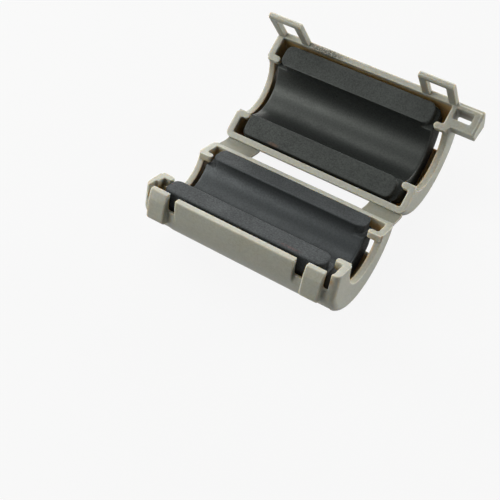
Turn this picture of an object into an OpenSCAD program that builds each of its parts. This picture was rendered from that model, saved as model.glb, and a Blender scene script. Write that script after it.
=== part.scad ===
// Clip-on ferrite bead, open, lying on the round backs of its two halves.
//
// Both halves are drawn closed first: the bore runs along X through the
// origin, the halves meet at Z = 0, the latches face -Y and the hinge +Y.
// Then the lid is swung open about the hinge, and the whole is tipped so
// that the two round backs touch the same level surface.

/* [Ferrite cores] */
// Length of each core's flat faces along the bore
core_len = 30.6; // [26:0.2:30.6]
// How far the body of a core reaches past its flat faces at each end
core_step = 0.85; // [0.7:0.05:0.95]
// Height of the flat faces above that step
core_step_depth = 1.8; // [1.7:0.1:3]
// Width of each core across its flats
core_w = 18.9; // [17:0.1:19]
// Radius of the core's round back
core_back_r = 9.85; // [9:0.05:9.85]
// Radius of the cable bore
bore_r = 5.35; // [4:0.05:5.8]
// Radius of the core's corners, seen on its flat face
core_corner_r = 1.3; // [0.5:0.1:2]
// Rounding where the bore runs out at the core's ends
bore_flare_r = 0.35; // [0.2:0.05:0.8]
// How far the cores have slid towards -X in their case
core_slide = 0.3; // [0:0.05:0.4]

/* [Case] */
// Length of the case without its tie tab
case_len = 37.2; // [37:0.1:40]
// Outer radius of the case
case_r = 11.3; // [11.3:0.05:12]
// Thickness of the round wall
wall = 1.2; // [0.9:0.05:1.2]
// Thickness of the end walls
end_wall = 1.25; // [1:0.05:1.5]
// Rounding of the case's end edges
end_round = 1.3; // [0.5:0.1:1.8]
// Radius of the cable hole in the end walls
cable_r = 6; // [5.9:0.1:6.5]
// How far the case's axis lies towards the latches from the bore's
case_shift = 0.22; // [0:0.01:0.22]
// Gap between a core's flat face and the plane where the halves meet
face_gap = 0.03; // [0.01:0.01:0.1]
// Gap between the base's rim and that plane on the hinge side
base_rim_gap = 0.3; // [0.2:0.05:0.6]
// Height of the base's rim above that plane on the latch side
front_rim = 0.05; // [-0.2:0.05:0.05]
// Gap between the lid's rim and that plane
lid_rim_gap = 0.15; // [0.15:0.05:0.4]

/* [Stops that hold the cores] */
// Free length between the stops
stop_span = 31.6; // [31.6:0.1:32]
// Width of a stop
stop_w = 1.25; // [1:0.05:1.8]
// Distance of a stop's near side from the bore's axis
stop_y = 5.4; // [5.2:0.1:6]
// Depth of a stop's underside below the plane where the halves meet
stop_depth = 1.55; // [1:0.05:1.65]

/* [Latches] */
// Distance of each latch from the middle of the pair
latch_x = 14.95; // [14.8:0.05:15.1]
// How far that middle lies towards -X from the middle of the case
latch_shift = 0.35; // [0:0.05:0.35]
// Width of a loop
loop_w = 6.7; // [6.3:0.1:6.7]
// Length of a loop below the plane where the halves meet
loop_len = 7.4; // [7.2:0.1:8]
// Thickness of a loop
loop_t = 1.1; // [0.9:0.05:1.2]
// Width of a loop's two legs
loop_leg = 1.5; // [1.2:0.1:1.5]
// Height of a loop's cross bar
loop_bar = 1.2; // [1:0.1:1.5]
// Bevel along the cross bar's lower edges
loop_lead = 0.3; // [0.2:0.05:0.4]
// Gap between a loop and its catch
catch_gap = 0.2; // [0.1:0.05:0.2]
// Width of the raised panel between the latches
panel_w = 22.8; // [22:0.1:23]
// Depth of the slits beside each catch
slit_depth = 3.3; // [2:0.1:4]
// Width of the slit between a catch and the end wall
slit_w = 0.9; // [0.4:0.05:1]
// Thickness of a catch from its face to its back
catch_t = 1.6; // [1.5:0.05:1.75]
// How far the lead-in at the top of a catch leans back
catch_lead = 0.5; // [0.5:0.05:0.7]
// Height of that lead-in
catch_lead_h = 1.7; // [1.7:0.1:2.2]
// Rounding of the base's front corners beyond the catches, seen from above
corner_round = 1; // [0.5:0.1:1.8]
// Rounding of a catch's lower edge
catch_round = 1.1; // [0.5:0.1:1.1]

/* [Openings in the round walls] */
// Length of an opening along the case
port_len = 3.5; // [3:0.1:4]
// Near edge of the openings on the latch side, from the case's axis
port_near = 4.2; // [4:0.1:5]
// Far edge of the openings on the latch side
port_far = 8.1; // [7.5:0.1:8.3]
// Upper edge of the base's openings on the hinge side, below its axis
side_port_top = 3.6; // [3:0.1:4]
// Lower edge of those openings
side_port_low = 6.5; // [6:0.1:7]

/* [Tie tab] */
// How far the tab stands out from the end of the case
tab_len = 4.5; // [4.3:0.1:7]
// Angle of the case's curve that the tab takes up
tab_angle = 24.5; // [20:0.5:30]
// Distance of the tab's inner side from the bore's axis
tab_inner = 6.55; // [5.5:0.05:7]
// Length of the slot for a cable tie
tie_len = 3.4; // [2.5:0.1:3.6]
// Width of the slot for a cable tie
tie_w = 2; // [1.5:0.05:2.3]
// Step along the tab's outer end, on the side that faces the base
tab_step = 0.45; // [0.3:0.05:0.8]

/* [Hinge] */
// Distance of the hinge line from the bore's axis
hinge_y = 12.45; // [12.4:0.05:12.8]
// Depth of the hinge line below the plane where the halves meet
hinge_drop = 0.54; // [0.4:0.02:0.7]
// Angle between the two halves, 0 when closed
open_angle = 132.2; // [100:0.5:180]
// Thickness of the hinge straps
strap_t = 0.6; // [0.4:0.05:0.7]
// Start and end of the strap near -X
strap_left = [-17.7, -10.9];
// Start and end of the strap near +X
strap_right = [12, 18.4];

/* [Hidden] */
$fn = 96;
big = 60;
tiny = 0.01;
half_len = case_len / 2;
inner_half = half_len - end_wall;
inner_r = case_r - wall;
front_y = -case_r - case_shift;
seat_y = front_y + loop_t + 0.05;
loop_window_w = loop_w - 2 * loop_leg;
catch_w = loop_window_w - 2 * catch_gap;
catch_low = loop_len - loop_bar - catch_gap;
catch_x = latch_x - catch_w / 2;
catch_back = front_y + catch_t;
stop_inset = 0.3;
bore_edge = bore_r - sqrt(bore_r * bore_r - core_step_depth * core_step_depth);
tab_round = 0.5;
tab_root = half_len - 2 * end_round;
tab_outer = -10.9;
tie_x = half_len - 0.4;
tie_y = -10.15;
port_x = inner_half + 0.15 - port_len;

// The hinge line, and how far the halves tip when they lie on their backs
hinge = [0, hinge_y, -hinge_drop];
lid_axis = swung([-case_shift, 0]);
tip_angle = atan2(lid_axis[1], lid_axis[0] + case_shift);
lid_edge = swung([case_r - case_shift, lid_rim_gap]);
base_edge = [case_r - case_shift, -base_rim_gap];

case_colour = [0.66, 0.65, 0.60];
core_colour = [0.27, 0.27, 0.28];

// Where a point [y, z] of the closed lid lies once the lid is swung open
function swung(p) =
    let (dy = p[0] - hinge_y, dz = p[1] + hinge_drop)
    [hinge_y + dy * cos(open_angle) + dz * sin(open_angle),
     -hinge_drop - dy * sin(open_angle) + dz * cos(open_angle)];

// ---- places ----

// Tips the closed drawing to the way the base lies
module lying() {
    rotate([-tip_angle, 0, 0]) children();
}

// Swings a piece of the closed lid to where it lies
module swung_open() {
    lying() translate(hinge) rotate([-open_angle, 0, 0]) translate(-hinge) children();
}

// Turns a body of revolution so that its axis is the case's axis, along X
module on_case_axis() {
    translate([0, -case_shift, 0]) rotate([0, 90, 0]) children();
}

// Repeats a piece at both ends of the case
module both_ends() {
    children();
    mirror([1, 0, 0]) children();
}

// ---- shapes that repeat ----

// Box from one corner to the other
module box(low, high) {
    translate(low) cube(high - low);
}

// Solid round bar along the case's axis with rounded ends
module round_bar(start, end, r, rounding) {
    middle = (start + end) / 2;
    len = end - start;
    on_case_axis() translate([0, 0, middle]) rotate_extrude() {
        translate([0, -len / 2]) square([r - rounding, len]);
        translate([0, rounding - len / 2]) square([r, len - 2 * rounding]);
        for (s = [-1, 1])
            translate([r - rounding, s * (len / 2 - rounding)]) circle(rounding);
    }
}

// Rectangle with round corners, centred
module rounded_plate(l, w, r) {
    square([l, w - 2 * r], center = true);
    square([l - 2 * r, w], center = true);
    for (x = [-1, 1], y = [-1, 1])
        translate([x * (l / 2 - r), y * (w / 2 - r)]) circle(r);
}

// Half of the case above Z = 0: round wall, end walls with the cable hole,
// the stops for the core and the openings on the latch side
module half_case(rim) {
    difference() {
        round_bar(-half_len, half_len, case_r, end_round);
        on_case_axis() cylinder(r = inner_r, h = 2 * inner_half, center = true);
        rotate([0, 90, 0]) cylinder(r = cable_r, h = big, center = true);
        box([-big, -big, -big], [big, big, rim]);
        both_ends() box([port_x, -port_far - case_shift, inner_r / 2],
                        [port_x + port_len, -port_near - case_shift, big]);
    }
    both_ends() for (s = [0, 1]) mirror([0, s, 0]) core_stop(rim);
}

// Prong that stands on the end wall and holds a core by the step at its end
module core_stop(rim) {
    r = stop_w / 2;
    box([stop_span / 2 + r, stop_y, rim], [half_len - stop_inset, stop_y + stop_w, stop_depth]);
    translate([stop_span / 2 + r, stop_y + r, rim]) cylinder(r = r, h = stop_depth - rim);
}

// ---- base ----

// Repeats a piece at both latches, which are a little off the middle of the case
module both_latches() {
    translate([-latch_shift, 0, 0]) both_ends() children();
}

// Catch at the +X end: a free-standing tongue with a lead-in at its top
module catch() {
    low = -catch_low;
    translate([catch_x, 0, 0]) rotate([90, 0, 90]) linear_extrude(catch_w) difference() {
        union() {
            polygon([[catch_back, front_rim], [front_y + catch_lead, front_rim],
                     [front_y, front_rim - catch_lead_h], [front_y, low + catch_round],
                     [front_y + catch_round, low], [catch_back, low]]);
            translate([front_y + catch_round, low + catch_round]) circle(catch_round);
        }
        translate([-case_shift, 0]) circle(inner_r);
    }
    box([catch_x, seat_y, -slit_depth - wall], [catch_x + catch_w, catch_back, front_rim]);
}

// Slits that free the catch: a wide one beside the panel, a narrow one at the end wall
module catch_slits() {
    far = catch_x + catch_w;
    box([panel_w / 2, front_y - 1, -slit_depth], [catch_x, seat_y + 2, big]);
    box([far, front_y - 1, -slit_depth + slit_w / 2], [far + slit_w, seat_y + 2, big]);
    translate([far + slit_w / 2, seat_y + 2, -slit_depth + slit_w / 2])
        rotate([90, 0, 0]) cylinder(d = slit_w, h = 4);
}

// Posts between the narrow slits and the outer faces of the end walls
module end_posts() {
    intersection() {
        round_bar(-half_len, half_len, case_r, end_round);
        both_latches() box([catch_x + catch_w + slit_w, seat_y, -slit_depth - wall],
                           [big, catch_back, front_rim]);
    }
}

// Waste that rounds a front corner of the base, seen from above
module front_corner() {
    x = half_len - corner_round;
    y = seat_y + corner_round;
    translate([0, 0, -big]) linear_extrude(2 * big) difference() {
        translate([x, y - big]) square(big);
        translate([x, y]) circle(corner_round);
    }
}

// Base before its catches are added: a flat wall runs behind the latches,
// and the rim is lower on the hinge side
module base_shell() {
    difference() {
        mirror([0, 0, 1]) half_case(-front_rim);
        box([-big, 0, -base_rim_gap], [big, big, big]);
        both_latches() box([panel_w / 2, -big, -big], [big, seat_y, big]);
        both_ends() box([port_x, inner_r / 2, -side_port_low], [inner_half, big, -side_port_top]);
    }
}

module case_base() {
    color(case_colour) lying() difference() {
        union() {
            base_shell();
            both_latches() catch();
            end_posts();
        }
        both_latches() catch_slits();
        both_ends() front_corner();
    }
}

// ---- lid ----

// Tab for a cable tie, on the +X end of the lid
module tie_tab() {
    difference() {
        intersection() {
            round_bar(tab_root, half_len + tab_len, case_r, tab_round);
            union() {
                box([tab_root, -big, lid_rim_gap + tab_step], [big, -tab_inner, big]);
                box([tab_root, tab_outer, lid_rim_gap],
                    [half_len + tab_len - tab_step, -tab_inner, 1]);
            }
            translate([0, -case_shift, 0]) rotate([-tab_angle, 0, 0])
                box([0, -big, -big], [big, 0, 0]);
        }
        on_case_axis() cylinder(r = inner_r, h = 2 * inner_half, center = true);
    }
}

// Slot through the tab and the outer part of the end wall it stands on
module tie_slot() {
    box([tie_x, tie_y, -big], [tie_x + tie_len, tie_y + tie_w, big]);
}

module case_lid() {
    color(case_colour) swung_open() difference() {
        union() {
            half_case(lid_rim_gap);
            tie_tab();
        }
        tie_slot();
    }
}

// Rectangular loop that drops over a catch, side -1 at the -X end
module latch_loop(side) {
    translate([side * latch_x - latch_shift - loop_w / 2, 0, 0]) difference() {
        rotate([90, 0, 90]) linear_extrude(loop_w)
            polygon([[front_y, lid_rim_gap], [front_y, loop_lead - loop_len],
                     [front_y + loop_lead, -loop_len], [front_y + loop_t - loop_lead, -loop_len],
                     [front_y + loop_t, loop_lead - loop_len], [front_y + loop_t, lid_rim_gap]]);
        box([loop_leg, front_y - 1, loop_bar - loop_len],
            [loop_w - loop_leg, 0, lid_rim_gap + 1]);
    }
}

module latch_loop_left() {
    color(case_colour) swung_open() latch_loop(-1);
}

module latch_loop_right() {
    color(case_colour) swung_open() latch_loop(1);
}

// ---- hinge ----

// Flexible strap from the base's rim to the lid's
module hinge_strap(span) {
    difference() {
        lying() translate([span[0], 0, 0]) rotate([90, 0, 90]) linear_extrude(span[1] - span[0])
            polygon([base_edge - [0.3, 0], lid_edge + [0.3, 0],
                     lid_edge + [0.3, -strap_t], base_edge - [0.3, strap_t]]);
        lying() on_case_axis() cylinder(r = case_r, h = big, center = true);
        swung_open() on_case_axis() cylinder(r = case_r, h = big, center = true);
    }
}

module hinge_strap_left() {
    color(case_colour) hinge_strap(strap_left);
}

module hinge_strap_right() {
    color(case_colour) hinge_strap(strap_right);
}

// ---- ferrite ----

// Half core above Z = 0, its flat faces towards the other half
module core_half() {
    translate([-core_slide, 0, 0]) difference() {
        union() {
            core_block(core_len, face_gap);
            core_block(core_len + 2 * core_step, core_step_depth);
        }
        rotate([0, 90, 0]) cylinder(r = bore_r, h = big, center = true);
        both_ends() {
            bore_flare();
            for (s = [0, 1]) mirror([0, s, 0]) flat_corner();
        }
    }
}

// Round-backed block that starts at a given height, with round corners in plan
module core_block(len, start) {
    intersection() {
        rotate([0, 90, 0]) cylinder(r = core_back_r, h = len, center = true);
        translate([0, 0, start]) linear_extrude(big) rounded_plate(len, core_w, core_corner_r);
    }
}

// Waste that rounds the end of a flat face at its bore-side corner
module flat_corner() {
    r = core_corner_r;
    linear_extrude(core_step_depth) difference() {
        translate([core_len / 2 - r, bore_r - bore_edge]) square([r + tiny, r + bore_edge]);
        translate([core_len / 2 - r, bore_r + r]) circle(r);
    }
}

// Ring of waste that rounds the bore's mouth
module bore_flare() {
    end = core_len / 2 + core_step;
    translate([end - bore_flare_r, 0, 0]) rotate([0, 90, 0]) rotate_extrude()
        difference() {
            translate([bore_r - tiny, 0]) square([bore_flare_r + tiny, bore_flare_r + 1]);
            translate([bore_r + bore_flare_r, 0]) circle(bore_flare_r);
        }
}

module core_base() {
    color(core_colour) lying() mirror([0, 0, 1]) core_half();
}

module core_lid() {
    color(core_colour) swung_open() core_half();
}

case_base();
case_lid();
hinge_strap_left();
hinge_strap_right();
latch_loop_left();
latch_loop_right();
core_base();
core_lid();
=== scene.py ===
"""Looks of a clip-on ferrite bead that lies open on the round backs of its two halves.

The case is one nylon moulding with two hinge straps and two latch loops, and a
sintered ferrite half core sits in each half.  All lengths are in millimetres
until a mesh is made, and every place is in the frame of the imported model.
"""

import logging
import math
from dataclasses import dataclass, field
from enum import Enum
from typing import Any

import bmesh
import bpy
from mathutils import Matrix, Vector


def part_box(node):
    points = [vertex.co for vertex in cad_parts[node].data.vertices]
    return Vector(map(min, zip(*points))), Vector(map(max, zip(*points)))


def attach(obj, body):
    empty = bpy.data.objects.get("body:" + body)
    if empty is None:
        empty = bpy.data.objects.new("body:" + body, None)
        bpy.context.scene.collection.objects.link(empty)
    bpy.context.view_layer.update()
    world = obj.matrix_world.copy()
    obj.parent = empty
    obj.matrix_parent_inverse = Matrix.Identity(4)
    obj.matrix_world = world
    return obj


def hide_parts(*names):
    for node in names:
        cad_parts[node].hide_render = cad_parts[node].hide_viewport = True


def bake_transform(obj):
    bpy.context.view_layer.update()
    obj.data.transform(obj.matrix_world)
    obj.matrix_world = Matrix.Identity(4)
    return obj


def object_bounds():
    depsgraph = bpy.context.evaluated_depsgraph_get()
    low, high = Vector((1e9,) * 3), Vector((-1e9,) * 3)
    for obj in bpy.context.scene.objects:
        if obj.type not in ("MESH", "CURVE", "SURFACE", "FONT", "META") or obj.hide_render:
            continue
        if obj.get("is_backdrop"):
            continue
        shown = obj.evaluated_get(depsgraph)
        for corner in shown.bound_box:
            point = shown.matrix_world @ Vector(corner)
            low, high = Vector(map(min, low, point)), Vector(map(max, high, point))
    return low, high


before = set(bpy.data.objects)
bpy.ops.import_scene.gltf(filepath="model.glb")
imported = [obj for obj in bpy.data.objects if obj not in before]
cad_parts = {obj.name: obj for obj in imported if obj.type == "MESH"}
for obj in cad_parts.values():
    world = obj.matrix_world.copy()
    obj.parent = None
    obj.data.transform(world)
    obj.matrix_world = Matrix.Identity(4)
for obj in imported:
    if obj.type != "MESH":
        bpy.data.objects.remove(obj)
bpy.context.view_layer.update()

MM = 0.001
# Two places closer than this are one
SAME = 0.001
log = logging.getLogger("ferrite_bead")

Point = tuple[float, float, float]
WHITE = (1.0, 1.0, 1.0, 1.0)


class Half(Enum):
    """The two halves of the bead, named as their bodies are."""

    BASE = "base"
    LID = "lid"


class Side(Enum):
    """The two ends of the bead along its bore."""

    LEFT = "left"
    RIGHT = "right"


class Slot(Enum):
    """The material slots of the record."""

    CASE = "case"
    FERRITE = "ferrite"


# ---------------------------------------------------------------- the frame


@dataclass(frozen=True)
class OpenPose:
    """How the two halves lie when the bead is open.

    Attributes:
        tip: Angle by which the base lies back, in degrees.
        opening: Angle between the halves at the hinge, in degrees.
        base_bore: The bore's axis in the base, as [y, z].
        lid_bore: The bore's axis in the lid, as [y, z].
        base_axis: The axis of the base's round wall, as [y, z].
        lid_axis: The axis of the lid's round wall, as [y, z].
    """

    tip: float = 21.4595
    opening: float = 132.2
    base_bore: tuple[float, float] = (0.0, 0.0)
    lid_bore: tuple[float, float] = (22.7863, -0.0171)
    base_axis: tuple[float, float] = (-0.2047, 0.0805)
    lid_axis: tuple[float, float] = (22.9835, 0.0805)

    def turn(self, half: Half) -> float:
        """Returns the angle in degrees that turns a half's rim level, about +X."""
        return self.tip if half is Half.BASE else self.tip + self.opening

    def axis(self, half: Half) -> tuple[float, float]:
        """Returns the axis of a half's round wall, as [y, z]."""
        return self.base_axis if half is Half.BASE else self.lid_axis

    def mouth(self, half: Half) -> Vector:
        """Returns the direction in which a half is open."""
        up = Vector((0, 0, 1)) if half is Half.BASE else Vector((0, 0, -1))
        return self.levelled(half).inverted() @ up

    def levelled(self, half: Half) -> Matrix:
        """Returns the matrix that turns a half about the bore so that its rim is level."""
        return Matrix.Rotation(math.radians(self.turn(half)), 4, "X")


POSE = OpenPose()


# ---------------------------------------------------------------- node helper


def srgb(code: str) -> tuple[float, float, float, float]:
    """Turns an sRGB hex value into the linear colour that a socket takes.

    Args:
        code: Six hex digits.

    Returns:
        The linear red, green and blue, and full opacity.
    """
    channels = [int(code[i : i + 2], 16) / 255 for i in (0, 2, 4)]
    linear = [c / 12.92 if c <= 0.04045 else ((c + 0.055) / 1.055) ** 2.4 for c in channels]
    return (linear[0], linear[1], linear[2], 1.0)


def add_node(
    tree: bpy.types.NodeTree,
    kind: str,
    settings: dict[str, Any] | None = None,
    inputs: dict[str | int, Any] | None = None,
) -> bpy.types.Node:
    """Adds one node with its settings, values and links.

    Args:
        tree: The node tree to add to.
        kind: The node's type name.
        settings: Properties of the node itself.
        inputs: For each input, a value or the output socket that feeds it.

    Returns:
        The new node.
    """
    node = tree.nodes.new(kind)
    for name, value in (settings or {}).items():
        setattr(node, name, value)
    for name, value in (inputs or {}).items():
        if isinstance(value, bpy.types.NodeSocket):
            tree.links.new(value, node.inputs[name])
        else:
            node.inputs[name].default_value = value
    return node


def per_metre(size_mm: float) -> float:
    """Returns the texture scale that makes a pattern's cells this many millimetres wide."""
    return 1.0 / (size_mm * MM)


def blank_material(name: str) -> bpy.types.Material:
    """Returns a new material whose node tree is empty."""
    made = bpy.data.materials.new(name)
    made.use_nodes = True
    made.node_tree.nodes.clear()
    return made


def from_axis(
    tree: bpy.types.NodeTree,
    place: bpy.types.NodeSocket,
    axis: tuple[float, float],
) -> tuple[bpy.types.NodeSocket, bpy.types.NodeSocket]:
    """Adds the nodes that measure from an axis along X.

    Args:
        tree: The material's nodes.
        place: Object coordinates.
        axis: Where the axis lies, as [y, z].

    Returns:
        The place measured from the axis, and its distance from it.
    """
    local = add_node(
        tree,
        "ShaderNodeVectorMath",
        {"operation": "SUBTRACT"},
        {0: place, 1: Vector((0, axis[0], axis[1])) * MM},
    ).outputs["Vector"]
    across = add_node(
        tree,
        "ShaderNodeVectorMath",
        {"operation": "MULTIPLY"},
        {0: local, 1: (0.0, 1.0, 1.0)},
    )
    radius = add_node(
        tree,
        "ShaderNodeVectorMath",
        {"operation": "LENGTH"},
        {0: across.outputs["Vector"]},
    )
    return local, radius.outputs["Value"]


# ---------------------------------------------------------------- finishes


@dataclass(frozen=True)
class Patch:
    """A place on a surface where dirt or rust lies, or where shade is painted.

    Attributes:
        centre: Middle of the patch.
        reach: Half its length along X, Y and Z.
        colour: sRGB hex value of the dirt, rust or painted shade.
        cover: How thickly the specks lie; above 2 they leave no gaps.
        grain: Size of the specks.
        strength: How much of the surface's own colour a speck hides.
        core: Share of the reach within which the dirt or shade is at its full strength.
    """

    centre: Point
    reach: Point
    colour: str
    cover: float
    grain: float
    strength: float = 1.0
    core: float = 0.2

    def mask(self, tree: bpy.types.NodeTree, place: bpy.types.NodeSocket) -> bpy.types.NodeSocket:
        """Adds the nodes that tell where the dirt or painted shade lies.

        Args:
            tree: The material's nodes.
            place: Object coordinates.

        Returns:
            A value that is 1 on the dirt or shade and 0 off it.
        """
        local = add_node(
            tree,
            "ShaderNodeVectorMath",
            {"operation": "SUBTRACT"},
            {0: place, 1: Vector(self.centre) * MM},
        )
        scaled = add_node(
            tree,
            "ShaderNodeVectorMath",
            {"operation": "DIVIDE"},
            {0: local.outputs[0], 1: Vector(self.reach) * MM},
        )
        away = add_node(
            tree, "ShaderNodeVectorMath", {"operation": "LENGTH"}, {0: scaled.outputs[0]}
        )
        inside = add_node(
            tree,
            "ShaderNodeMapRange",
            {"interpolation_type": "SMOOTHSTEP"},
            {
                "Value": away.outputs["Value"],
                "From Min": 1.0,
                "From Max": self.core,
                "To Max": self.strength,
            },
        )
        specks = add_node(
            tree,
            "ShaderNodeTexNoise",
            {"noise_dimensions": "3D"},
            {"Vector": place, "Scale": per_metre(self.grain), "Detail": 3.0, "Roughness": 0.7},
        )
        # The more cover, the lower the level of the noise from which dirt or painted shade shows
        edge = 0.72 - 0.34 * self.cover
        soft = 0.05
        spotted = add_node(
            tree,
            "ShaderNodeMapRange",
            {"interpolation_type": "SMOOTHSTEP"},
            {"Value": specks.outputs["Fac"], "From Min": edge - soft, "From Max": edge + soft},
        )
        return add_node(
            tree,
            "ShaderNodeMath",
            {"operation": "MULTIPLY"},
            {0: inside.outputs["Result"], 1: spotted.outputs["Result"]},
        ).outputs["Value"]


def mix_colours(
    tree: bpy.types.NodeTree,
    share: bpy.types.NodeSocket | float,
    first: Any,
    second: Any,
) -> bpy.types.NodeSocket:
    """Mixes two colours and returns the result.

    Args:
        tree: The material's nodes.
        share: How much of the second colour shows.
        first: Colour, or the socket that gives it.
        second: Colour, or the socket that gives it.
    """
    node = add_node(tree, "ShaderNodeMix", {"data_type": "RGBA"}, {0: share, 6: first, 7: second})
    return node.outputs[2]


@dataclass(frozen=True)
class PaintedCavityShade:
    """The inside of one half of the case, where the core lies and brown shade is painted.

    Attributes:
        half: Which half it is.
        wall_r: Radius of the round wall's inner side.
        half_len: Distance of the end walls' inner sides from the middle.
        rim: Depth of the rim below the plane where the halves meet.
        fade: Depth below the rim at which the inside is fully shaded.
        lip_r: Radius of the cable hole.
        lip: How strongly the lip of the cable hole is shaded.
        wall_fade: Where the shading starts and is full, outwards from wall_r.
        lip_fade: The same, outwards from lip_r.
        end_fade: How far into the end walls the shading reaches.
    """

    half: Half
    wall_r: float = 10.1
    half_len: float = 17.35
    rim: float = 0.45
    fade: float = 1.1
    lip_r: float = 6.0
    lip: float = 0.5
    wall_fade: tuple[float, float] = (0.3, 0.05)
    lip_fade: tuple[float, float] = (0.4, 1.4)
    end_fade: float = 0.75

    def mask(self, tree: bpy.types.NodeTree, place: bpy.types.NodeSocket) -> bpy.types.NodeSocket:
        """Adds the nodes that tell how deep inside the case a point is.

        Args:
            tree: The material's nodes.
            place: Object coordinates.

        Returns:
            A value that is 0 outside and on the rim, and 1 deep in the case.
        """
        local, radius = from_axis(tree, place, POSE.axis(self.half))
        lengthwise = add_node(
            tree,
            "ShaderNodeVectorMath",
            {"operation": "DOT_PRODUCT"},
            {0: local, 1: (1.0, 0.0, 0.0)},
        )
        outwards = add_node(
            tree, "ShaderNodeMath", {"operation": "ABSOLUTE"}, {0: lengthwise.outputs["Value"]}
        ).outputs["Value"]
        depth = add_node(
            tree,
            "ShaderNodeVectorMath",
            {"operation": "DOT_PRODUCT"},
            {0: local, 1: -POSE.mouth(self.half)},
        ).outputs["Value"]
        share = None
        # What is measured, where its shading starts and is full, and the least share it gives
        for value, off, on, least in (
            (radius, self.wall_r + self.wall_fade[0], self.wall_r + self.wall_fade[1], 0.0),
            (radius, self.lip_r + self.lip_fade[0], self.lip_r + self.lip_fade[1], self.lip),
            (outwards, self.half_len + self.end_fade, self.half_len, 0.0),
            (depth, self.rim, self.rim + self.fade, 0.0),
        ):
            step = add_node(
                tree,
                "ShaderNodeMapRange",
                {"interpolation_type": "SMOOTHSTEP"},
                {"Value": value, "From Min": off * MM, "From Max": on * MM, "To Min": least},
            ).outputs["Result"]
            if share is None:
                share = step
            else:
                share = add_node(
                    tree, "ShaderNodeMath", {"operation": "MULTIPLY"}, {0: share, 1: step}
                ).outputs["Value"]
        return share


@dataclass(frozen=True)
class MouldedNylon:
    """Warm grey nylon, injection moulded in a finely eroded tool.

    It gives the eye a matt, slightly grainy skin, with a painted highlight along the edges.
    The walls let a little light through, and the deep gaps get a painted brown shade.

    Attributes:
        name: The material's name.
        half: The half whose inside is shaded.
        colour: sRGB hex value of the plastic.
        shade: The same in the darker clouds.
        edge: The same in the painted highlight along the edges.
        inside: The same in the painted brown shade deep in the gaps.
        glow: How far red, green and blue light travel inside, as shares of depth.
        depth: How far light travels inside.
        dirt: Places where dirt lies, or where shade is painted.
    """

    name: str
    half: Half
    colour: str = "A6A69A"
    shade: str = "9B9B8C"
    edge: str = "CDCDC4"
    inside: str = "A88C58"
    glow: Point = (1.0, 0.72, 0.42)
    depth: float = 1.0
    dirt: tuple[Patch, ...] = ()

    def material(self) -> bpy.types.Material:
        """Builds the material and returns it."""
        made = blank_material(self.name)
        tree = made.node_tree
        place = add_node(tree, "ShaderNodeTexCoord").outputs["Object"]
        # Flow of the melt: faint clouds about 3 mm wide
        clouds = add_node(
            tree,
            "ShaderNodeTexNoise",
            {"noise_dimensions": "3D"},
            {"Vector": place, "Scale": per_metre(3.0), "Detail": 3.0, "Roughness": 0.55},
        )
        # Spark-eroded skin, 0.05 mm on the real part, drawn at 0.4 mm so that it shows
        skin = add_node(
            tree,
            "ShaderNodeTexNoise",
            {"noise_dimensions": "3D"},
            {"Vector": place, "Scale": per_metre(0.4), "Detail": 4.0, "Roughness": 0.65},
        )
        colour = mix_colours(tree, clouds.outputs["Fac"], srgb(self.colour), srgb(self.shade))
        # Painted highlight along the edges: how far a bevelled normal leans from the true one
        leaning = add_node(tree, "ShaderNodeBevel", {"samples": 4}, {"Radius": 0.35 * MM})
        true = add_node(tree, "ShaderNodeNewGeometry")
        close = add_node(
            tree,
            "ShaderNodeVectorMath",
            {"operation": "DOT_PRODUCT"},
            {0: leaning.outputs["Normal"], 1: true.outputs["Normal"]},
        )
        thin = add_node(
            tree,
            "ShaderNodeMapRange",
            None,
            {
                "Value": close.outputs["Value"],
                "From Min": 0.995,
                "From Max": 0.9,
                "To Max": 0.75,
            },
        )
        colour = mix_colours(tree, thin.outputs["Result"], colour, srgb(self.edge))
        # Painted brown shade deep in the gaps of the case, fading out towards the rim
        deep = PaintedCavityShade(self.half).mask(tree, place)
        colour = mix_colours(tree, deep, colour, srgb(self.inside))
        speckle = add_node(
            tree,
            "ShaderNodeMapRange",
            None,
            {
                "Value": skin.outputs["Fac"],
                "From Min": 0.3,
                "From Max": 0.7,
                "To Min": 0.88,
                "To Max": 1.1,
            },
        )
        colour = add_node(
            tree,
            "ShaderNodeVectorMath",
            {"operation": "SCALE"},
            {0: colour, "Scale": speckle.outputs["Result"]},
        ).outputs["Vector"]
        for patch in self.dirt:
            colour = mix_colours(tree, patch.mask(tree, place), colour, srgb(patch.colour))
        bump = add_node(
            tree,
            "ShaderNodeBump",
            None,
            {"Strength": 0.35, "Distance": 0.03 * MM, "Height": skin.outputs["Fac"]},
        )
        shader = add_node(
            tree,
            "ShaderNodeBsdfPrincipled",
            {"subsurface_method": "RANDOM_WALK"},
            {
                "Base Color": colour,
                "Roughness": 0.52,
                "IOR": 1.47,
                "Subsurface Weight": 1.0,
                "Subsurface Radius": Vector(self.glow),
                "Subsurface Scale": self.depth * MM,
                "Normal": bump.outputs["Normal"],
            },
        )
        add_node(tree, "ShaderNodeOutputMaterial", None, {"Surface": shader.outputs["BSDF"]})
        return made


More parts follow.
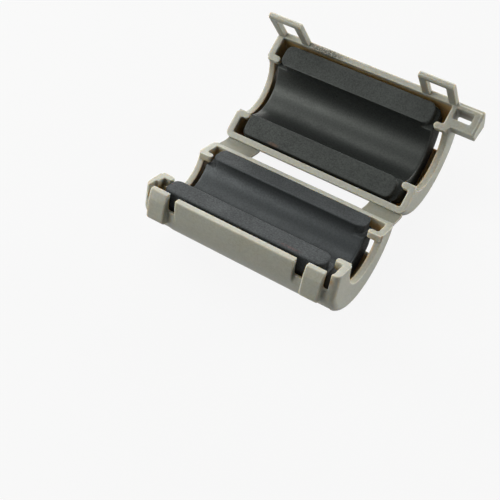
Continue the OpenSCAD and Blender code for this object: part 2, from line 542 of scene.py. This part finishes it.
@dataclass(frozen=True)
class SinteredFerrite:
    """Manganese-zinc ferrite, pressed and sintered, with ground flat faces.

    It gives the eye a dark charcoal ceramic: matt and speckled on the ground
    flats, and with a soft satin sheen in the bore.

    Attributes:
        name: The material's name.
        bore: Where the bore's axis lies, as [y, z].
        bore_r: Radius of the bore.
        light: sRGB hex value of the paler grains.
        dark: The same of the darker grains.
        sheen: Tint of the gloss.
        ior: Refractive index, lower than the real one so that the gloss is as weak as it looks.
        tones: Levels of the grain at which it is darkest and palest.
        uneven_by: How much the roughness of single grains varies, up and down.
        dirt: Places where rust lies.
    """

    name: str
    bore: tuple[float, float]
    bore_r: float = 5.35
    light: str = "292C2A"
    dark: str = "111212"
    sheen: str = "F4FAF2"
    ior: float = 1.42
    tones: tuple[float, float] = (0.48, 0.77)
    uneven_by: float = 0.09
    dirt: tuple[Patch, ...] = ()

    def bore_mask(
        self, tree: bpy.types.NodeTree, place: bpy.types.NodeSocket
    ) -> bpy.types.NodeSocket:
        """Adds the nodes that tell the bore's wall from the rest, and returns 1 in the bore."""
        radius = from_axis(tree, place, self.bore)[1]
        return add_node(
            tree,
            "ShaderNodeMapRange",
            {"interpolation_type": "SMOOTHSTEP"},
            {
                "Value": radius,
                "From Min": (self.bore_r + 0.25) * MM,
                "From Max": (self.bore_r + 0.05) * MM,
            },
        ).outputs["Result"]

    def material(self) -> bpy.types.Material:
        """Builds the material and returns it."""
        made = blank_material(self.name)
        tree = made.node_tree
        place = add_node(tree, "ShaderNodeTexCoord").outputs["Object"]
        in_bore = self.bore_mask(tree, place)
        # Sintered grains, 0.02 mm on the real part, drawn at 0.3 mm so that they show
        grain = add_node(
            tree,
            "ShaderNodeTexNoise",
            {"noise_dimensions": "3D"},
            {"Vector": place, "Scale": per_metre(0.3), "Detail": 3.0, "Roughness": 0.75},
        )
        # Loose clouds from the press, about 4 mm wide
        clouds = add_node(
            tree,
            "ShaderNodeTexNoise",
            {"noise_dimensions": "3D"},
            {"Vector": place, "Scale": per_metre(4.0), "Detail": 2.0},
        )
        uneven = add_node(
            tree,
            "ShaderNodeMath",
            {"operation": "MULTIPLY_ADD"},
            {0: clouds.outputs["Fac"], 1: 0.25, 2: grain.outputs["Fac"]},
        )
        tone = add_node(
            tree,
            "ShaderNodeMapRange",
            None,
            {
                "Value": uneven.outputs["Value"],
                "From Min": self.tones[0],
                "From Max": self.tones[1],
            },
        )
        colour = mix_colours(tree, tone.outputs["Result"], srgb(self.dark), srgb(self.light))
        # Pits from the pressing powder, 0.4 mm wide and a few millimetres apart
        cells = add_node(
            tree,
            "ShaderNodeTexVoronoi",
            {"voronoi_dimensions": "3D", "feature": "F1"},
            {"Vector": place, "Scale": per_metre(3.6), "Randomness": 1.0},
        )
        pits = add_node(
            tree,
            "ShaderNodeMapRange",
            {"interpolation_type": "SMOOTHSTEP"},
            {"Value": cells.outputs["Distance"], "From Min": 0.075, "From Max": 0.045},
        )
        colour = mix_colours(tree, pits.outputs["Result"], colour, srgb("060606"))
        # Pale dust, a few specks far apart
        dust_cells = add_node(
            tree,
            "ShaderNodeTexVoronoi",
            {"voronoi_dimensions": "3D", "feature": "F1"},
            {"Vector": place, "Scale": per_metre(4.3), "Randomness": 1.0},
        )
        dust = add_node(
            tree,
            "ShaderNodeMapRange",
            {"interpolation_type": "SMOOTHSTEP"},
            {
                "Value": dust_cells.outputs["Distance"],
                "From Min": 0.03,
                "From Max": 0.015,
                "To Max": 0.7,
            },
        )
        colour = mix_colours(tree, dust.outputs["Result"], colour, srgb("A9ABA6"))
        for patch in self.dirt:
            colour = mix_colours(tree, patch.mask(tree, place), colour, srgb(patch.colour))
        roughness = add_node(
            tree,
            "ShaderNodeMapRange",
            None,
            {"Value": in_bore, "To Min": 0.66, "To Max": 0.4},
        )
        # Grains that lie level sparkle, pits stay dull
        uneven_gloss = add_node(
            tree,
            "ShaderNodeMapRange",
            None,
            {
                "Value": uneven.outputs["Value"],
                "From Min": self.tones[0],
                "From Max": self.tones[1],
                "To Min": self.uneven_by,
                "To Max": -self.uneven_by,
            },
        )
        roughness = add_node(
            tree,
            "ShaderNodeMath",
            {"operation": "ADD"},
            {0: roughness.outputs["Result"], 1: uneven_gloss.outputs["Result"]},
        )
        height = add_node(
            tree,
            "ShaderNodeMath",
            {"operation": "SUBTRACT"},
            {0: grain.outputs["Fac"], 1: pits.outputs["Result"]},
        )
        bump = add_node(
            tree,
            "ShaderNodeBump",
            None,
            {"Strength": 0.35, "Distance": 0.03 * MM, "Height": height.outputs["Value"]},
        )
        shader = add_node(
            tree,
            "ShaderNodeBsdfPrincipled",
            None,
            {
                "Base Color": colour,
                "Roughness": roughness.outputs["Value"],
                "IOR": self.ior,
                "Specular Tint": srgb(self.sheen),
                "Normal": bump.outputs["Normal"],
            },
        )
        add_node(tree, "ShaderNodeOutputMaterial", None, {"Surface": shader.outputs["BSDF"]})
        return made


# ---------------------------------------------------------------- mesh helpers


def copy_of_node(node: str) -> bmesh.types.BMesh:
    """Returns a merged copy of a CAD node's mesh."""
    mesh = bmesh.new()
    mesh.from_mesh(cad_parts[node].data)
    bmesh.ops.remove_doubles(mesh, verts=mesh.verts, dist=0.005 * MM)
    return mesh


def finished(
    name: str, mesh: bmesh.types.BMesh, finish: bpy.types.Material
) -> bpy.types.Object:
    """Turns a mesh into a smooth piece with its finish.

    Args:
        name: The piece's name.
        mesh: The mesh, with its place in it; it is freed.
        finish: The piece's material.

    Returns:
        The piece, linked into the scene.
    """
    data = bpy.data.meshes.new(name)
    mesh.to_mesh(data)
    mesh.free()
    for face in data.polygons:
        face.use_smooth = True
    data.materials.append(finish)
    piece = bpy.data.objects.new(name, data)
    bpy.context.scene.collection.objects.link(piece)
    log.info("%s: %d faces", name, len(data.polygons))
    return piece


@dataclass(frozen=True)
class SoftEdges:
    """Rounds every edge of a moulded or pressed piece.

    Attributes:
        cell: Size of the cells that the piece is remeshed with.
        passes: How many times the cells are smoothed.
        flat: Angle below which neighbouring faces are joined, in degrees.
    """

    cell: float = 0.15
    passes: int = 2
    flat: float = 0.3

    def round_off(self, mesh: bmesh.types.BMesh, level: Matrix) -> bmesh.types.BMesh:
        """Remeshes a piece with soft edges.

        Args:
            mesh: The sharp mesh; it is freed.
            level: Matrix that turns the piece so that its flats lie along the cells.

        Returns:
            The rounded mesh, in the place of the first.
        """
        mesh.transform(level)
        data = bpy.data.meshes.new("rounding")
        mesh.to_mesh(data)
        mesh.free()
        work = bpy.data.objects.new("rounding", data)
        bpy.context.scene.collection.objects.link(work)
        cells = work.modifiers.new("cells", "REMESH")
        cells.mode = "VOXEL"
        cells.voxel_size = self.cell * MM
        evaluated = work.evaluated_get(bpy.context.evaluated_depsgraph_get())
        rounded = bmesh.new()
        rounded.from_mesh(evaluated.to_mesh())
        evaluated.to_mesh_clear()
        bpy.data.objects.remove(work)
        bpy.data.meshes.remove(data)
        for _ in range(self.passes):
            bmesh.ops.smooth_vert(
                rounded,
                verts=rounded.verts,
                factor=0.5,
                use_axis_x=True,
                use_axis_y=True,
                use_axis_z=True,
            )
        bmesh.ops.dissolve_limit(
            rounded,
            angle_limit=math.radians(self.flat),
            verts=rounded.verts,
            edges=rounded.edges,
            delimit=set(),
        )
        rounded.transform(level.inverted())
        return rounded


# ---------------------------------------------------------------- the case


@dataclass
class CaseHalf:
    """One half of the moulded case, with soft moulded edges.

    Attributes:
        half: Which half it is.
        finish: The nylon.
        edges: How its edges are rounded.
    """

    half: Half
    finish: bpy.types.Material
    edges: SoftEdges = field(default_factory=SoftEdges)

    def build(self) -> bpy.types.Object:
        """Builds the half, lets it ride on its body and returns it."""
        node = f"case_{self.half.value}"
        mesh = self.edges.round_off(copy_of_node(node), POSE.levelled(self.half))
        piece = finished(f"case_shell_{self.half.value}", mesh, self.finish)
        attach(piece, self.half.value)
        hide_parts(node)
        return piece


@dataclass
class LatchLoop:
    """A rectangular loop that springs over its catch on the base.

    Attributes:
        side: Which end of the bead it is at.
        finish: The nylon.
        edges: How its edges are rounded.
        root: How far the legs reach into the lid's rim.
        foot_band: Height above the legs' feet within which corners count as feet.
        bend: Length of leg that bends when the loop springs.
        folds: Number of cuts along that length.
    """

    side: Side
    finish: bpy.types.Material
    edges: SoftEdges = field(default_factory=lambda: SoftEdges(cell=0.11))
    root: float = 0.35
    foot_band: float = 0.2
    bend: float = 2.4
    folds: int = 8

    def build(self) -> bpy.types.Object:
        """Builds the loop, cuts its legs across where they bend, and returns it."""
        node = f"latch_loop_{self.side.value}"
        mesh = copy_of_node(node)
        level = POSE.levelled(Half.LID)
        mesh.transform(level)
        # Turned level, the legs stand along Z with their feet on the lid's rim
        foot = max(v.co.z for v in mesh.verts)
        for vert in mesh.verts:
            if vert.co.z > foot - self.foot_band * MM:
                vert.co.z += self.root * MM
        mesh = self.edges.round_off(mesh, Matrix.Identity(4))
        for i in range(self.folds):
            height = foot - self.bend * MM * i / (self.folds - 1)
            bmesh.ops.bisect_plane(
                mesh,
                geom=mesh.verts[:] + mesh.edges[:] + mesh.faces[:],
                plane_co=(0, 0, height),
                plane_no=(0, 0, 1),
                dist=0.0001 * MM,
            )
        mesh.transform(level.inverted())
        piece = finished(node + "_soft", mesh, self.finish)
        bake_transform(piece)
        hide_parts(node)
        return piece


@dataclass
class HingeStrap:
    """A thin flexible strap that joins the two halves.

    It leaves the base's rim flush, sags a little and meets the lid's wall just
    below its rim.

    Attributes:
        side: Which end of the bead it is at.
        finish: The nylon.
        line: Control points of its upper side, from the base to the lid, as [y, z].
        ends: Thickness at the two halves.
        middle: Thickness on the hinge line.
        steps: Number of lengths that it is divided into.
        held: Shares along it between which it bends; its ends keep to the halves. Not used.
        rounding: Rounding of its long edges.
    """

    side: Side
    finish: bpy.types.Material
    line: tuple[tuple[float, float], ...] = (
        (9.80, -4.16),
        (11.10, -4.68),
        (12.05, -5.42),
        (13.25, -5.36),
    )
    ends: float = 0.6
    middle: float = 0.42
    steps: int = 28
    held: tuple[float, float] = (0.12, 0.85)
    rounding: float = 0.12

    def upper(self, t: float) -> tuple[Vector, Vector]:
        """Returns the point on the upper side at share t, and the direction along it."""
        p = [Vector((0, y, z)) for y, z in self.line]
        s = 1 - t
        point = p[0] * s**3 + p[1] * 3 * s * s * t + p[2] * 3 * s * t * t + p[3] * t**3
        along = (p[1] - p[0]) * 3 * s * s + (p[2] - p[1]) * 6 * s * t + (p[3] - p[2]) * 3 * t * t
        return point, along.normalized()

    def build(self) -> bpy.types.Object:
        """Builds the strap and returns it."""
        node = f"hinge_strap_{self.side.value}"
        low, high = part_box(node)
        mesh = bmesh.new()
        bmesh.ops.create_cube(mesh, size=1.0)
        lengthwise = [e for e in mesh.edges if abs(e.verts[0].co.y - e.verts[1].co.y) > 0.5]
        bmesh.ops.subdivide_edges(mesh, edges=lengthwise, cuts=self.steps - 1, use_grid_fill=True)
        for vert in mesh.verts:
            t = vert.co.y + 0.5
            point, along = self.upper(t)
            below = Vector((0, along.z, -along.y))
            thick = self.middle + (self.ends - self.middle) * (2 * t - 1) ** 2
            share = 0.5 - vert.co.z
            spot = (point + below * thick * share) * MM
            vert.co = Vector((low[0] + (vert.co.x + 0.5) * (high[0] - low[0]), spot.y, spot.z))
        bmesh.ops.recalc_face_normals(mesh, faces=mesh.faces)
        sides = [
            e
            for e in mesh.edges
            if e.calc_face_angle(0.0) > math.radians(60)
            and abs(e.verts[0].co.x - e.verts[1].co.x) < SAME * MM
        ]
        bmesh.ops.bevel(
            mesh,
            geom=sides,
            offset=self.rounding * MM,
            offset_type="OFFSET",
            affect="EDGES",
            segments=2,
            profile=0.5,
            clamp_overlap=False,
            material=-1,
        )
        piece = finished(node + "_soft", mesh, self.finish)
        piece.data.set_sharp_from_angle(angle=math.radians(50))
        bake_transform(piece)
        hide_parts(node)
        return piece


# ---------------------------------------------------------------- the cores


@dataclass
class HalfCore:
    """A half core with the soft, slightly worn edges of a sintered piece.

    Attributes:
        half: Which half of the case it sits in.
        finish: The ferrite.
        edges: How its edges are rounded.
    """

    half: Half
    finish: bpy.types.Material
    edges: SoftEdges = field(default_factory=SoftEdges)

    def build(self) -> bpy.types.Object:
        """Builds the core, lets it ride on its body and returns it."""
        node = f"core_{self.half.value}"
        mesh = self.edges.round_off(copy_of_node(node), POSE.levelled(self.half))
        piece = finished(f"ferrite_{self.half.value}", mesh, self.finish)
        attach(piece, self.half.value)
        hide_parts(node)
        return piece


# ---------------------------------------------------------------- the studio


@dataclass(frozen=True)
class SoftBox:
    """A square soft light that points at the bead.

    Attributes:
        name: The light's name.
        toward: Direction from the bead to the light.
        power: Power in watts.
        away: Distance from the bead.
        size: Side of the light.
    """

    name: str
    toward: Point
    power: float
    away: float = 400.0
    size: float = 200.0

    def build(self, aim: Vector) -> None:
        """Puts the light up, pointing at aim."""
        data = bpy.data.lights.new(self.name, "AREA")
        data.size = self.size * MM
        data.energy = self.power
        lamp = bpy.data.objects.new(self.name, data)
        direction = Vector(self.toward).normalized()
        lamp.location = aim + direction * self.away * MM
        lamp.rotation_euler = direction.to_track_quat("Z", "Y").to_euler()
        lamp.visible_camera = False
        bpy.context.scene.collection.objects.link(lamp)


@dataclass
class Studio:
    """A plain white table, soft lights and the camera.

    Attributes:
        surround: How brightly the room lights the bead, from all round.
        shadow: How much of the card's own shading shows on the white table.
        card: sRGB hex value of the table, as it throws light back on the bead.
        half_side: Half the table's side, in metres.
        lights: The soft lights.
        camera_at: Where the camera stands.
        camera_turn: How it is turned about X, Y and Z, in radians.
        camera_lens: Its focal length.
    """

    surround: float = 0.05
    shadow: float = 0.1
    card: str = "9C9C9A"
    half_side: float = 1.5
    lights: tuple[SoftBox, ...] = (
        SoftBox("front_left", (-0.593, -0.593, 0.545), 0.93),
        SoftBox("left", (-0.799, 0.0, 0.602), 1.0),
        SoftBox("high_back_left", (-0.332, 0.332, 0.883), 0.33),
        SoftBox("back_right", (0.686, 0.686, 0.242), 1.05),
        SoftBox("back", (-0.332, 0.912, 0.242), 0.88),
        SoftBox("right", (0.970, 0.0, 0.242), 0.23),
    )
    camera_at: Point = (54.3629, -81.4377, 120.8988)
    camera_turn: Point = (0.6305644, 0.0383626, 0.5772559)
    camera_lens: float = 66.5004

    def looked_at(self, tree: bpy.types.NodeTree) -> bpy.types.NodeSocket:
        """Adds the nodes that tell a look from soft light.

        Args:
            tree: The nodes of the table or the world.

        Returns:
            A value that is 1 where the camera, a gloss or a clear piece looks.
        """
        path = add_node(tree, "ShaderNodeLightPath")
        direct = add_node(
            tree,
            "ShaderNodeMath",
            {"operation": "MAXIMUM"},
            {0: path.outputs["Is Camera Ray"], 1: path.outputs["Is Glossy Ray"]},
        )
        return add_node(
            tree,
            "ShaderNodeMath",
            {"operation": "MAXIMUM"},
            {0: direct.outputs["Value"], 1: path.outputs["Is Transmission Ray"]},
        ).outputs["Value"]

    def table(self) -> bpy.types.Object:
        """Lays the white table that the bead stands on, and returns it."""
        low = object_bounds()[0]
        mesh = bmesh.new()
        bmesh.ops.create_grid(mesh, x_segments=1, y_segments=1, size=self.half_side)
        bmesh.ops.translate(mesh, verts=mesh.verts, vec=(0, 0, low.z))
        data = bpy.data.meshes.new("table_top")
        mesh.to_mesh(data)
        mesh.free()
        made = blank_material("white_card")
        tree = made.node_tree
        card = add_node(tree, "ShaderNodeBsdfDiffuse", None, {"Color": srgb(self.card)})
        white = add_node(tree, "ShaderNodeEmission", None, {"Color": WHITE, "Strength": 1.0})
        seen = add_node(
            tree,
            "ShaderNodeMath",
            {"operation": "MULTIPLY"},
            {0: self.looked_at(tree), 1: 1.0 - self.shadow},
        )
        mixed = add_node(
            tree,
            "ShaderNodeMixShader",
            None,
            {0: seen.outputs["Value"], 1: card.outputs["BSDF"], 2: white.outputs["Emission"]},
        )
        add_node(tree, "ShaderNodeOutputMaterial", None, {"Surface": mixed.outputs["Shader"]})
        data.materials.append(made)
        floor = bpy.data.objects.new("table_top", data)
        bpy.context.scene.collection.objects.link(floor)
        floor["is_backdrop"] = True
        return floor

    def world(self) -> None:
        """Makes the surroundings: white to look at, and a faint even light on the bead."""
        world = bpy.data.worlds.new("pale_room")
        bpy.context.scene.world = world
        world.use_nodes = True
        tree = world.node_tree
        tree.nodes.clear()
        room, white = (
            add_node(tree, "ShaderNodeBackground", None, {"Color": WHITE, "Strength": strength})
            for strength in (self.surround, 1.0)
        )
        mixed = add_node(
            tree,
            "ShaderNodeMixShader",
            None,
            {
                0: self.looked_at(tree),
                1: room.outputs["Background"],
                2: white.outputs["Background"],
            },
        )
        add_node(tree, "ShaderNodeOutputWorld", None, {"Surface": mixed.outputs["Shader"]})

    def camera(self) -> None:
        """Puts the camera up."""
        data = bpy.data.cameras.new("camera")
        data.lens = self.camera_lens
        data.sensor_width = 36.0
        data.clip_start = 0.001
        data.clip_end = 20.0
        camera = bpy.data.objects.new("camera", data)
        camera.location = Vector(self.camera_at) * MM
        camera.rotation_euler = self.camera_turn
        bpy.context.scene.collection.objects.link(camera)
        bpy.context.scene.camera = camera

    def build(self) -> None:
        """Sets the whole studio up."""
        low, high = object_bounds()
        self.table()
        self.world()
        for light in self.lights:
            light.build((low + high) / 2)
        self.camera()
        bpy.context.scene.view_settings.view_transform = "Standard"


# ---------------------------------------------------------------- the bead

# Grime on the lid's rim, the shade in the tie slot, and faint rust on the cores
RIM_DIRT = Patch((-8.0, 32.2, 4.6), (5.0, 1.5, 1.5), "34321F", 0.75, 0.26)
SLOT_SHADE = Patch((19.9, 31.87, 2.25), (3.0, 2.2, 1.9), "5E4224", 3.0, 1.0, 0.9)
LID_RUST = Patch((-8.9, 14.6, -4.1), (1.5, 0.5, 0.5), "4A3323", 0.9, 0.35, 0.8)
LID_EDGE_RUST = Patch((-3.0, 30.6, 3.3), (12.0, 0.5, 0.5), "4A2C1C", 0.55, 0.3, 0.5)
BASE_RUST = Patch((8.6, -8.1, 3.2), (3.2, 0.5, 0.5), "4E2A24", 0.6, 0.25, 0.6)


def main() -> None:
    """Builds the bead piece by piece, then the studio."""
    logging.basicConfig(level=logging.INFO, format="%(name)s %(message)s")
    nylon = MouldedNylon("moulded_nylon_base", Half.BASE).material()
    nylon_lid = MouldedNylon("moulded_nylon_lid", Half.LID, dirt=(RIM_DIRT, SLOT_SHADE)).material()
    # The base's ferrite is a darker copy of the lid's: painted shade that offsets the stronger
    # light on its flats
    ferrite_base = SinteredFerrite(
        "sintered_ferrite_base",
        POSE.base_bore,
        light="252828",
        dark="0F1010",
        sheen="ECF4F6",
        dirt=(BASE_RUST,),
    ).material()
    ferrite_lid = SinteredFerrite(
        "sintered_ferrite_lid", POSE.lid_bore, dirt=(LID_RUST, LID_EDGE_RUST)
    ).material()
    CaseHalf(Half.BASE, nylon).build()
    CaseHalf(Half.LID, nylon_lid).build()
    HalfCore(Half.BASE, ferrite_base).build()
    HalfCore(Half.LID, ferrite_lid).build()
    # The straps are a darker copy of the nylon: painted shade, as they lie low between the halves
    strap = MouldedNylon(
        "moulded_nylon_strap_painted_shade", Half.BASE, colour="7E7D70", shade="757463", edge="B4B4A8"
    ).material()
    for side in Side:
        HingeStrap(side, strap).build()
        LatchLoop(side, nylon_lid).build()
    Studio().build()


if __name__ == "__main__":
    main()
